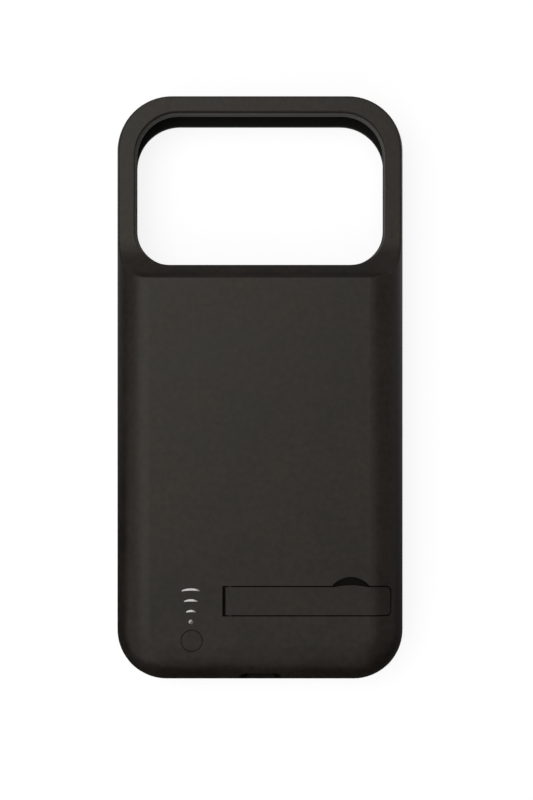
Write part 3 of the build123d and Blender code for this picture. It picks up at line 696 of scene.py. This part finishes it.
class Finish(Enum):
    """Every finish of the case."""

    SHELL = SATIN
    STAND = replace(INSET_SATIN, name="stand_satin_charcoal", specular=0.31)
    BUTTON = replace(INSET_SATIN, name="button_satin_charcoal", specular=0.30, dust=0.0)
    # The plate is painted several times lighter than the shell's charcoal, a painted highlight for the light
    # band inside the opening's top edge.
    PLATE = MouldedPlastic(
        "plate_charcoal_painted_highlight", (0.052, 0.0490, 0.0425), roughness=(0.42, 0.52), specular=0.5, dust=0.0
    )
    FRAME = MouldedPlastic(
        "frame_soft_black", (0.009, 0.0083, 0.0070), grain_size=0.3 * MM, roughness=(0.50, 0.62),
        specular=0.25,
    )
    PIN = DrawnMetal("pin_black_oxide", (0.035, 0.034, 0.033))
    SOCKET = DrawnMetal("socket_black_nickel", (0.045, 0.043, 0.041), roughness=(0.34, 0.5))
    NICKEL = DrawnMetal("contact_satin_nickel", (0.58, 0.58, 0.60))
    GOLD = DrawnMetal("contact_gold_flash", (0.86, 0.62, 0.26), roughness=(0.2, 0.32))
    ZINC = DrawnMetal("screw_zinc", (0.50, 0.50, 0.51), lines=(0.2 * MM, 0.2 * MM, 0.2 * MM))
    GUIDE = MilkyGuide("guide_milky_white")
    BOARD = SolderMask("board_green_lacquer", (0.018, 0.10, 0.045), (0.03, 0.16, 0.07))
    CORE = CLEAN_MOULDING
    CHIP = replace(
        CLEAN_MOULDING, name="chip_moulded_black", colour=(0.018, 0.018, 0.020), grain_size=0.12 * MM
    )
    CERAMIC = MouldedPlastic(
        "capacitor_fired_tan", (0.40, 0.27, 0.16), clouds=0.12, cloud_size=1.5 * MM, grain_size=0.1 * MM,
        dust=0.0,
    )
    FERRITE = replace(
        CLEAN_MOULDING, name="inductor_pressed_grey", colour=(0.13, 0.13, 0.135), grain_size=0.18 * MM
    )
    RESIN = MouldedPlastic(
        "led_phosphor_resin", (0.82, 0.80, 0.55), clouds=0.1, cloud_size=0.8 * MM, roughness=(0.2, 0.3),
        dust=0.0,
    )
    FOIL = PouchFoil("cell_pressed_foil", (0.60, 0.61, 0.63))
    TAPE = MouldedPlastic(
        "tape_white_foam", (0.76, 0.75, 0.70), grain_size=0.35 * MM, grain_depth=0.03 * MM,
        roughness=(0.75, 0.9), dust=0.0,
    )
    RED_SLEEVE = replace(
        CLEAN_MOULDING, name="lead_red_sleeve", colour=(0.45, 0.022, 0.02), grain_size=0.4 * MM
    )
    BLACK_SLEEVE = replace(
        CLEAN_MOULDING, name="lead_black_sleeve", colour=(0.018, 0.018, 0.018), grain_size=0.4 * MM
    )

    @cached_property
    def material(self) -> bpy.types.Material:
        """Material of the finish, built when it is first used."""
        return self.value.build()


class Growth(Nodes):
    """A Geometry Nodes tree under construction, which ends in one plain mesh."""

    def __init__(self, name: str, finish: Finish, **sizes: float) -> None:
        """Opens the tree and gives it one named input for each size.

        Args:
            name: Name of the piece that grows.
            finish: What it is made of.
            sizes: Its sizes.
        """
        super().__init__(bpy.data.node_groups.new(name, "GeometryNodeTree"))
        self.name = name
        self.finish = finish
        self.sizes = sizes
        self.open_socket("Geometry", "INPUT", "NodeSocketGeometry")
        self.idents = {label: self.open_socket(label, "INPUT", "NodeSocketFloat") for label in sizes}
        self.open_socket("Geometry", "OUTPUT", "NodeSocketGeometry")
        self.entry = self.add("NodeGroupInput")
        self.exit = self.add("NodeGroupOutput")

    def open_socket(self, label: str, side: str, kind: str) -> str:
        """Opens an input or output of the tree and gives its identifier."""
        return self.tree.interface.new_socket(label, in_out=side, socket_type=kind).identifier

    def vector(self, *parts: str | float) -> Socket:
        """Puts a vector together.

        Args:
            parts: Named sizes or plain numbers.

        Returns:
            The vector.
        """
        node = self.add("ShaderNodeCombineXYZ")
        for part, target in zip(parts, node.inputs):
            self.put(self.entry.outputs[part] if isinstance(part, str) else part, target)
        return node.outputs["Vector"]

    def brick(self, *parts: str | float) -> Socket:
        """Makes a box.

        Args:
            parts: Its sizes along X, Y and Z.

        Returns:
            The box, about the origin.
        """
        node = self.add("GeometryNodeMeshCube")
        self.put(self.vector(*parts), node.inputs["Size"])
        return node.outputs["Mesh"]

    def moved(self, mesh: Socket, *parts: str | float) -> Socket:
        """Moves a mesh.

        Args:
            mesh: The mesh.
            parts: How far it goes along X, Y and Z.

        Returns:
            The moved mesh.
        """
        node = self.add("GeometryNodeTransform")
        self.put(mesh, node.inputs["Geometry"])
        self.put(self.vector(*parts), node.inputs["Translation"])
        return node.outputs["Geometry"]

    def union(self, *meshes: Socket) -> Socket:
        """Puts meshes together, without fusing them.

        Args:
            meshes: The meshes.

        Returns:
            All of them as one.
        """
        node = self.add("GeometryNodeJoinGeometry")
        for mesh in meshes:
            self.put(mesh, node.inputs["Geometry"])
        return node.outputs["Geometry"]

    def cut(self, mesh: Socket, *cutters: Socket) -> Socket:
        """Cuts meshes out of another.

        Args:
            mesh: The mesh that is cut.
            cutters: What is taken away.

        Returns:
            What is left.
        """
        node = self.add("GeometryNodeMeshBoolean", operation="DIFFERENCE", solver="EXACT")
        self.put(mesh, node.inputs["Mesh 1"])
        for cutter in cutters:
            self.put(cutter, node.inputs["Mesh 2"])
        return node.outputs["Mesh"]

    def grow(self, one: Socket, places: list[Vector]) -> bpy.types.Object:
        """Puts one copy of a mesh on each place and makes the result a plain mesh.

        Args:
            one: The mesh to repeat.
            places: Where the copies go.

        Returns:
            The new piece, at the origin.
        """
        copies = self.add("GeometryNodeInstanceOnPoints")
        self.put(self.entry.outputs["Geometry"], copies.inputs["Points"])
        self.put(one, copies.inputs["Instance"])
        real = self.add("GeometryNodeRealizeInstances")
        self.put(copies.outputs["Instances"], real.inputs["Geometry"])
        coat = self.add("GeometryNodeSetMaterial")
        self.put(self.finish.material, coat.inputs["Material"])
        self.put(real.outputs["Geometry"], coat.inputs["Geometry"])
        self.put(coat.outputs["Geometry"], self.exit.inputs["Geometry"])
        points = bpy.data.meshes.new(self.name + "_places")
        points.from_pydata(places, [], [])
        piece = bpy.data.objects.new(self.name, points)
        bpy.context.scene.collection.objects.link(piece)
        modifier = piece.modifiers.new("grow", "NODES")
        modifier.node_group = self.tree
        for label, value in self.sizes.items():
            modifier[self.idents[label]] = value
        bpy.context.view_layer.update()
        graph = bpy.context.evaluated_depsgraph_get()
        solid = bpy.data.meshes.new_from_object(piece.evaluated_get(graph))
        piece.modifiers.clear()
        piece.data = solid
        solid.name = self.name
        return piece


def node_slot(node: str) -> str:
    """Material slot that the record gives a node."""
    rows = frame["record"]["subparts"]
    return next(row["material_slot"] for row in rows if row["node"] == node)


def settle(piece: bpy.types.Object, slot: str, *nodes: str) -> None:
    """Fastens a new piece to the case and hides the nodes that it stands for.

    Args:
        piece: The piece, in place.
        slot: Material slot that its finish belongs to; not used.
        nodes: Nodes that it replaces, if any.
    """
    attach(piece, CASE_BODY)
    if nodes:
        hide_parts(*nodes)
    log.info("made %s on %s", piece.name, CASE_BODY)


def merged(node: str) -> bmesh.types.BMesh:
    """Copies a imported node's mesh and joins its loose triangles.

    Args:
        node: Name of the node.

    Returns:
        The copy.
    """
    mesh = bmesh.new()
    mesh.from_mesh(frame["nodes"][node].data)
    bmesh.ops.remove_doubles(mesh, verts=mesh.verts, dist=WELD)
    return mesh


def islands(node: str, digits: int = 5) -> list[Box]:
    """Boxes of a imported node's separate solids, in a fixed order.

    Args:
        node: Name of the node.
        digits: Decimals of a metre to which places are compared.

    Returns:
        Lowest and highest corner of each solid, from the bottom end up and from left to right.
    """
    mesh = merged(node)
    left = set(mesh.verts)
    boxes = []
    while left:
        group, front = set(), [next(iter(left))]
        while front:
            vert = front.pop()
            if vert not in group:
                group.add(vert)
                front.extend(edge.other_vert(vert) for edge in vert.link_edges)
        left -= group
        low = Vector([min(vert.co[axis] for vert in group) for axis in range(3)])
        high = Vector([max(vert.co[axis] for vert in group) for axis in range(3)])
        boxes.append((low, high))
    mesh.free()
    return sorted(boxes, key=lambda box: (round(box[0].y, digits), round(box[0].x, digits)))


@dataclass
class Assembly:
    """Sub-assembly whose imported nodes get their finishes."""

    coats: ClassVar[dict[str, Finish]] = {}

    def build(self) -> None:
        """Builds what belongs to the sub-assembly."""
        self.dress()

    def dress(self) -> None:
        """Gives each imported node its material."""
        for node, finish in self.coats.items():
            for slot in frame["nodes"][node].material_slots:
                slot.material = finish.material
            log.info("dressed %s in %s", node, finish.material.name)


@dataclass
class Housing(Assembly):
    """Hard shell, inner plate and soft frame."""

    coats = {"back_shell": Finish.SHELL, "inner_plate": Finish.PLATE, "bumper_frame": Finish.FRAME}


@dataclass
class Stand(Assembly):
    """Kickstand bar and its pin."""

    coats = {"kickstand": Finish.STAND, "kickstand_pin": Finish.PIN}


@dataclass
class Controls(Assembly):
    """Power button, its switch and the charge lights."""

    coats = {
        "power_button": Finish.BUTTON,
        "switch_can": Finish.NICKEL,
        "switch_plunger": Finish.CORE,
        "light_guide": Finish.GUIDE,
        "indicator_leds": Finish.RESIN,
    }


@dataclass
class Connectors(Assembly):
    """Charging socket and phone plug, with their rows of contacts."""

    coats = {
        "charge_port_shell": Finish.SOCKET,
        "charge_port_tongue": Finish.CORE,
        "plug_base": Finish.CORE,
        "phone_plug_shell": Finish.NICKEL,
        "phone_plug_core": Finish.CORE,
    }
    contact_width: float = 0.26 * MM
    contact_pitch: float = 0.5 * MM
    contact_rise: float = 0.05 * MM
    contact_setback: float = 0.3 * MM
    contact_count: int = 12
    plug_slot: float = 0.75 * MM
    plug_contact_length: float = 3.0 * MM

    def build(self) -> None:
        """Dresses the metal and the mouldings, and lays the contacts."""
        self.dress()
        low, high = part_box("charge_port_tongue")
        length = (high.y - low.y) - 2 * self.contact_setback
        self.lay_strips("charge_port_contacts", (low.y + high.y) / 2, length, (low.z, high.z))
        low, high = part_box("phone_plug_core")
        y = high.y - self.contact_setback - self.plug_contact_length / 2
        middle = (low.z + high.z) / 2
        walls = (middle - self.plug_slot / 2, middle + self.plug_slot / 2)
        self.lay_strips("phone_plug_contacts", y, self.plug_contact_length, walls)

    def lay_strips(self, name: str, y: float, length: float, walls: Range) -> None:
        """Lays two rows of gold strips, sunk by half their height.

        Args:
            name: Name of the piece.
            y: Middle of the strips along the case.
            length: Their length.
            walls: Heights of the two faces that they lie on.
        """
        growth = Growth(
            name, Finish.GOLD, Width=self.contact_width, Length=length, Height=2 * self.contact_rise
        )
        middle = (self.contact_count - 1) / 2
        places = [
            Vector(((index - middle) * self.contact_pitch, y, z))
            for z in walls for index in range(self.contact_count)
        ]
        strip = growth.brick("Width", "Length", "Height")
        settle(growth.grow(strip, places), node_slot("charge_port_shell"))


@dataclass
class Board(Assembly):
    """Charging board, the riser and what is soldered on them."""

    coats = {
        "main_board": Finish.BOARD,
        "riser_board": Finish.BOARD,
        "power_inductor": Finish.FERRITE,
        "charge_chip": Finish.CHIP,
        "boost_chip": Finish.CHIP,
        "capacitors": Finish.CERAMIC,
    }
    cap_end: float = 0.42 * MM
    cap_skin: float = 0.03 * MM
    leg_width: float = 0.28 * MM
    leg_pitch: float = 0.65 * MM
    leg_thickness: float = 0.12 * MM
    leg_foot: float = 0.40 * MM
    leg_rise: float = 0.45 * MM
    legs_per_side: int = 6

    def build(self) -> None:
        """Dresses the boards and their components, and adds what is tinned."""
        self.dress()
        self.cap_capacitors()
        for chip in ("charge_chip", "boost_chip"):
            self.add_legs(chip)

    def cap_capacitors(self) -> None:
        """Puts tinned ends on the capacitors."""
        boxes = islands("capacitors")
        low, high = boxes[0]
        size = high - low
        growth = Growth(
            "capacitor_ends", Finish.NICKEL, End=self.cap_end, Width=size.y + 2 * self.cap_skin,
            Height=size.z + self.cap_skin,
        )
        inset = self.cap_end / 2 - self.cap_skin
        places = []
        for low, high in boxes:
            middle = (low + high) / 2
            z = middle.z + self.cap_skin / 2
            places += [Vector((x, middle.y, z)) for x in (low.x + inset, high.x - inset)]
        end = growth.brick("End", "Width", "Height")
        settle(growth.grow(end, places), node_slot("charge_port_shell"))

    def add_legs(self, chip: str) -> None:
        """Adds bent tin legs on two sides of a chip: a shoulder, an upright and a foot on the board.

        Args:
            chip: Node of the chip.
        """
        low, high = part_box(chip)
        span = high.y - low.y + self.leg_foot
        growth = Growth(
            chip + "_legs", Finish.NICKEL, Width=self.leg_width, Thickness=self.leg_thickness,
            Foot=2 * self.leg_foot, Rise=self.leg_rise, Span=span, Away=span / 2, Back=-span / 2,
            Middle=self.leg_rise / 2, Sole=self.leg_thickness / 2,
            Shoulder=self.leg_rise - self.leg_thickness / 2,
        )
        parts = [growth.moved(growth.brick("Width", "Span", "Thickness"), 0.0, 0.0, "Shoulder")]
        for depth, height, level in (("Thickness", "Rise", "Middle"), ("Foot", "Thickness", "Sole")):
            for side in ("Away", "Back"):
                parts.append(growth.moved(growth.brick("Width", depth, height), 0.0, side, level))
        centre = (low + high) / 2
        middle = (self.legs_per_side - 1) / 2
        places = [
            Vector((centre.x + (index - middle) * self.leg_pitch, centre.y, low.z))
            for index in range(self.legs_per_side)
        ]
        settle(growth.grow(growth.union(*parts), places), node_slot("charge_port_shell"))


@dataclass
class Battery(Assembly):
    """Pouch cell with its strip board, tape and leads."""

    coats = {
        "battery_cell": Finish.FOIL,
        "battery_board": Finish.BOARD,
        "battery_tape": Finish.TAPE,
        "battery_lead_positive": Finish.RED_SLEEVE,
        "battery_lead_negative": Finish.BLACK_SLEEVE,
    }


@dataclass
class Screws(Assembly):
    """Plate screws and board screws.

    The sizes of their cross recesses are shares of the head's radius.
    """

    recess_width: float = 0.30
    recess_length: float = 1.35
    recess_depth: float = 0.6
    slack: float = 0.001 * MM

    def build(self) -> None:
        """Makes both kinds of screw."""
        self.make("plate_screws", Heads.DOWN)
        self.make("board_screws", Heads.UP)

    def make(self, node: str, heads: Heads) -> None:
        """Makes screws that stand for a node's plain ones.

        Args:
            node: Node that holds the plain screws.
            heads: Which way their heads look.
        """
        boxes = islands(node)
        low, high = boxes[0]
        radius = (high.x - low.x) / 2
        growth = Growth(
            node + "_recessed", Finish.ZINC, Width=radius * self.recess_width,
            Length=radius * self.recess_length, Depth=radius * self.recess_depth,
        )
        plain = self.one_screw(node, boxes[0], heads)
        source = growth.add("GeometryNodeObjectInfo")
        growth.put(plain, source.inputs["Object"])
        screw = growth.cut(
            source.outputs["Geometry"],
            growth.brick("Width", "Length", "Depth"),
            growth.brick("Length", "Width", "Depth"),
        )
        piece = growth.grow(screw, [self.face(box, heads) for box in boxes])
        bpy.data.objects.remove(plain)
        settle(piece, node_slot(node), node)

    def one_screw(self, node: str, box: Box, heads: Heads) -> bpy.types.Object:
        """Copies one plain screw, with the middle of its head's face at the origin.

        Args:
            node: Node that holds it.
            box: Its lowest and highest corner.
            heads: Which way its head looks.

        Returns:
            A helper object.
        """
        room = Vector((self.slack, self.slack, self.slack))
        low, high = box[0] - room, box[1] + room
        mesh = merged(node)
        outside = [
            vert for vert in mesh.verts
            if any(not low[axis] <= vert.co[axis] <= high[axis] for axis in range(3))
        ]
        bmesh.ops.delete(mesh, geom=outside, context="VERTS")
        bmesh.ops.translate(mesh, verts=mesh.verts, vec=-self.face(box, heads))
        data = bpy.data.meshes.new(node + "_plain")
        mesh.to_mesh(data)
        mesh.free()
        helper = bpy.data.objects.new(node + "_plain", data)
        bpy.context.scene.collection.objects.link(helper)
        return helper

    @staticmethod
    def face(box: Box, heads: Heads) -> Vector:
        """Finds the middle of a head's face.

        Args:
            box: Lowest and highest corner of the screw.
            heads: Which way its head looks.

        Returns:
            The middle.
        """
        low, high = box
        z = high.z if heads is Heads.UP else low.z
        return Vector(((low.x + high.x) / 2, (low.y + high.y) / 2, z))


@dataclass(frozen=True)
class Softbox:
    """Large flat lamp that looks at the case."""

    name: str
    place: Triple
    sides: Range
    radiance: float
    target: Triple = (0.0, 0.0, 0.015)

    def build(self) -> None:
        """Hangs the lamp, at a power that makes its face as bright as asked."""
        data = bpy.data.lights.new(self.name, "AREA")
        data.shape = "RECTANGLE"
        data.size, data.size_y = self.sides
        data.energy = self.radiance * math.pi * self.sides[0] * self.sides[1]
        lamp = bpy.data.objects.new(self.name, data)
        lamp.visible_camera = False
        bpy.context.scene.collection.objects.link(lamp)
        turn = (Vector(self.target) - Vector(self.place)).to_track_quat("-Z", "Y")
        lamp.matrix_world = Matrix.Translation(self.place) @ turn.to_matrix().to_4x4()


@dataclass(frozen=True)
class Whiteness:
    """How white a background is: fully to the camera and through glass, partly in reflections.

    The share in reflections changes along a direction, between two places.
    """

    lean: Triple
    reach: Range
    shares: Range

    def share(self, paint: Paint) -> Socket:
        """Works out the share of white.

        Args:
            paint: Tree that the nodes go into.

        Returns:
            The share, zero for the light that falls on things.
        """
        path = paint.add("ShaderNodeLightPath").outputs
        mirrored = paint.spread(paint.along(self.lean), self.reach, self.shares)
        dimmed = paint.times(mirrored, path["Is Glossy Ray"])
        return paint.greatest(path["Is Camera Ray"], dimmed, path["Is Transmission Ray"])


@dataclass
class Studio:
    """Floor, surroundings, lamps and camera.

    Names with seen are for the floor as the camera sees it, and names with hollow for the part of the floor
    that lies under the hump, where a shadow is painted for the camera and the floor glows to light the case
    from below.
    """

    floor_side: float = 6.0
    floor_colour: Colour = (0.06, 0.06, 0.06)
    floor_white: Whiteness = Whiteness((0.45, 1.0, 0.0), (-0.07, 0.09), (0.0, 0.40))
    seen_colour: Colour = (0.30, 0.30, 0.30)
    seen_glow: Range = (0.85, 1.0)
    seen_far: Range = (0.15, 0.90)
    hollow_low: Range = (-37.0 * MM, -77.0 * MM)
    hollow_high: Range = (37.0 * MM, 30.0 * MM)
    hollow_soft: float = 3.0 * MM
    hollow_light: float = 0.9
    world_white: Whiteness = Whiteness((0.35, 1.0, 0.0), (-0.6, 0.8), (0.0, 0.48))
    world_light: Range = (0.05, 0.13)
    lamps: tuple[Softbox, ...] = (
        Softbox("key", (-0.26, 0.22, 0.70), (0.78, 0.60), 1.14),
        Softbox("fill", (-0.40, -0.24, 0.66), (1.2, 2.4), 0.60),
        Softbox("front", (-0.10, -0.56, 0.41), (0.9, 0.56), 0.50),
        Softbox("left", (-0.95, 0.10, 0.20), (0.9, 0.30), 0.25),
    )
    camera_place: Triple = (1.77 * MM, -42.70 * MM, 402.76 * MM)
    camera_lens: float = 64.653
    camera_sensor: float = 36.0
    camera_shift_y: float = 0.18
    camera_near: float = 10.0 * MM

    def build(self) -> None:
        """Sets up everything round the case."""
        bpy.context.scene.view_settings.view_transform = "Standard"
        self.lay_floor()
        self.light_world()
        for lamp in self.lamps:
            lamp.build()
        self.place_camera()

    def lay_floor(self) -> None:
        """Lays the floor."""
        half = self.floor_side / 2
        corners = [(-half, -half, 0.0), (half, -half, 0.0), (half, half, 0.0), (-half, half, 0.0)]
        data = bpy.data.meshes.new("floor")
        data.from_pydata(corners, [], [(0, 1, 2, 3)])
        data.materials.append(self.floor_paper())
        floor = bpy.data.objects.new("floor", data)
        bpy.context.scene.collection.objects.link(floor)

    def floor_paper(self) -> bpy.types.Material:
        """White paper that keeps the shadow, throws little light back and can't be seen from below.

        It is white by itself far off. In the hollow under the hump a shadow is painted for the camera, and
        the floor glows there to light the side of the case that looks down.

        Returns:
            Its material.
        """
        material = bpy.data.materials.new("floor_paper")
        material.use_nodes = True
        tree = material.node_tree
        tree.nodes.remove(tree.nodes["Principled BSDF"])
        paint = Paint(tree)
        # Painted shadow under the hump for the camera, and a painted glow there that lights the case from
        # below.
        shadow_and_glow_zone = paint.inside(self.hollow_low, self.hollow_high, self.hollow_soft)
        lit = self.glowing(paint, self.floor_colour, paint.spread(shadow_and_glow_zone, RISING, (0.0, self.hollow_light)))
        open_floor = paint.spread(paint.measure("LENGTH", paint.place), self.seen_far, self.seen_glow)
        glow = paint.times(open_floor, paint.spread(shadow_and_glow_zone, RISING, FALLING))
        seen = self.glowing(paint, self.seen_colour, glow)
        above = paint.shader("ShaderNodeMixShader", self.floor_white.share(paint), lit, seen)
        backs = paint.add("ShaderNodeNewGeometry").outputs["Backfacing"]
        clear = paint.shader("ShaderNodeBsdfTransparent")
        one_sided = paint.shader("ShaderNodeMixShader", backs, above, clear)
        paint.put(one_sided, tree.nodes["Material Output"].inputs["Surface"])
        return material

    @staticmethod
    def glowing(paint: Paint, colour: Colour, strength: Socket) -> Socket:
        """Dull surface that also glows white.

        Args:
            paint: Tree that the nodes go into.
            colour: Colour of the surface.
            strength: How much it glows.

        Returns:
            Both together.
        """
        dull = paint.shader("ShaderNodeBsdfDiffuse", colour)
        return paint.shader("ShaderNodeAddShader", dull, paint.shader("ShaderNodeEmission", WHITE, strength))

    def light_world(self) -> None:
        """Makes white surroundings that light the case only faintly, and more from the right."""
        world = bpy.data.worlds.new("surroundings")
        world.use_nodes = True
        bpy.context.scene.world = world
        paint = Paint(world.node_tree)
        faint = paint.spread(paint.along(RIGHT), RISING, self.world_light)
        strength = paint.spread(self.world_white.share(paint), RISING, (faint, 1.0))
        background = world.node_tree.nodes["Background"]
        paint.put(WHITE, background.inputs["Color"])
        paint.put(strength, background.inputs["Strength"])

    def place_camera(self) -> None:
        """Places the camera over the lower end of the back, at the photograph's angle."""
        data = bpy.data.cameras.new("camera")
        data.lens = self.camera_lens
        data.sensor_width = self.camera_sensor
        data.shift_y = self.camera_shift_y
        data.clip_start = self.camera_near
        camera = bpy.data.objects.new("camera", data)
        bpy.context.scene.collection.objects.link(camera)
        camera.location = self.camera_place
        bpy.context.scene.camera = camera


def main() -> None:
    """Builds every sub-assembly, then the studio."""
    logging.basicConfig(level=logging.INFO, format="%(name)s: %(message)s")
    for assembly in (Housing, Stand, Controls, Connectors, Board, Battery, Screws):
        assembly().build()
    Studio().build()


if __name__ == "__main__":
    main()
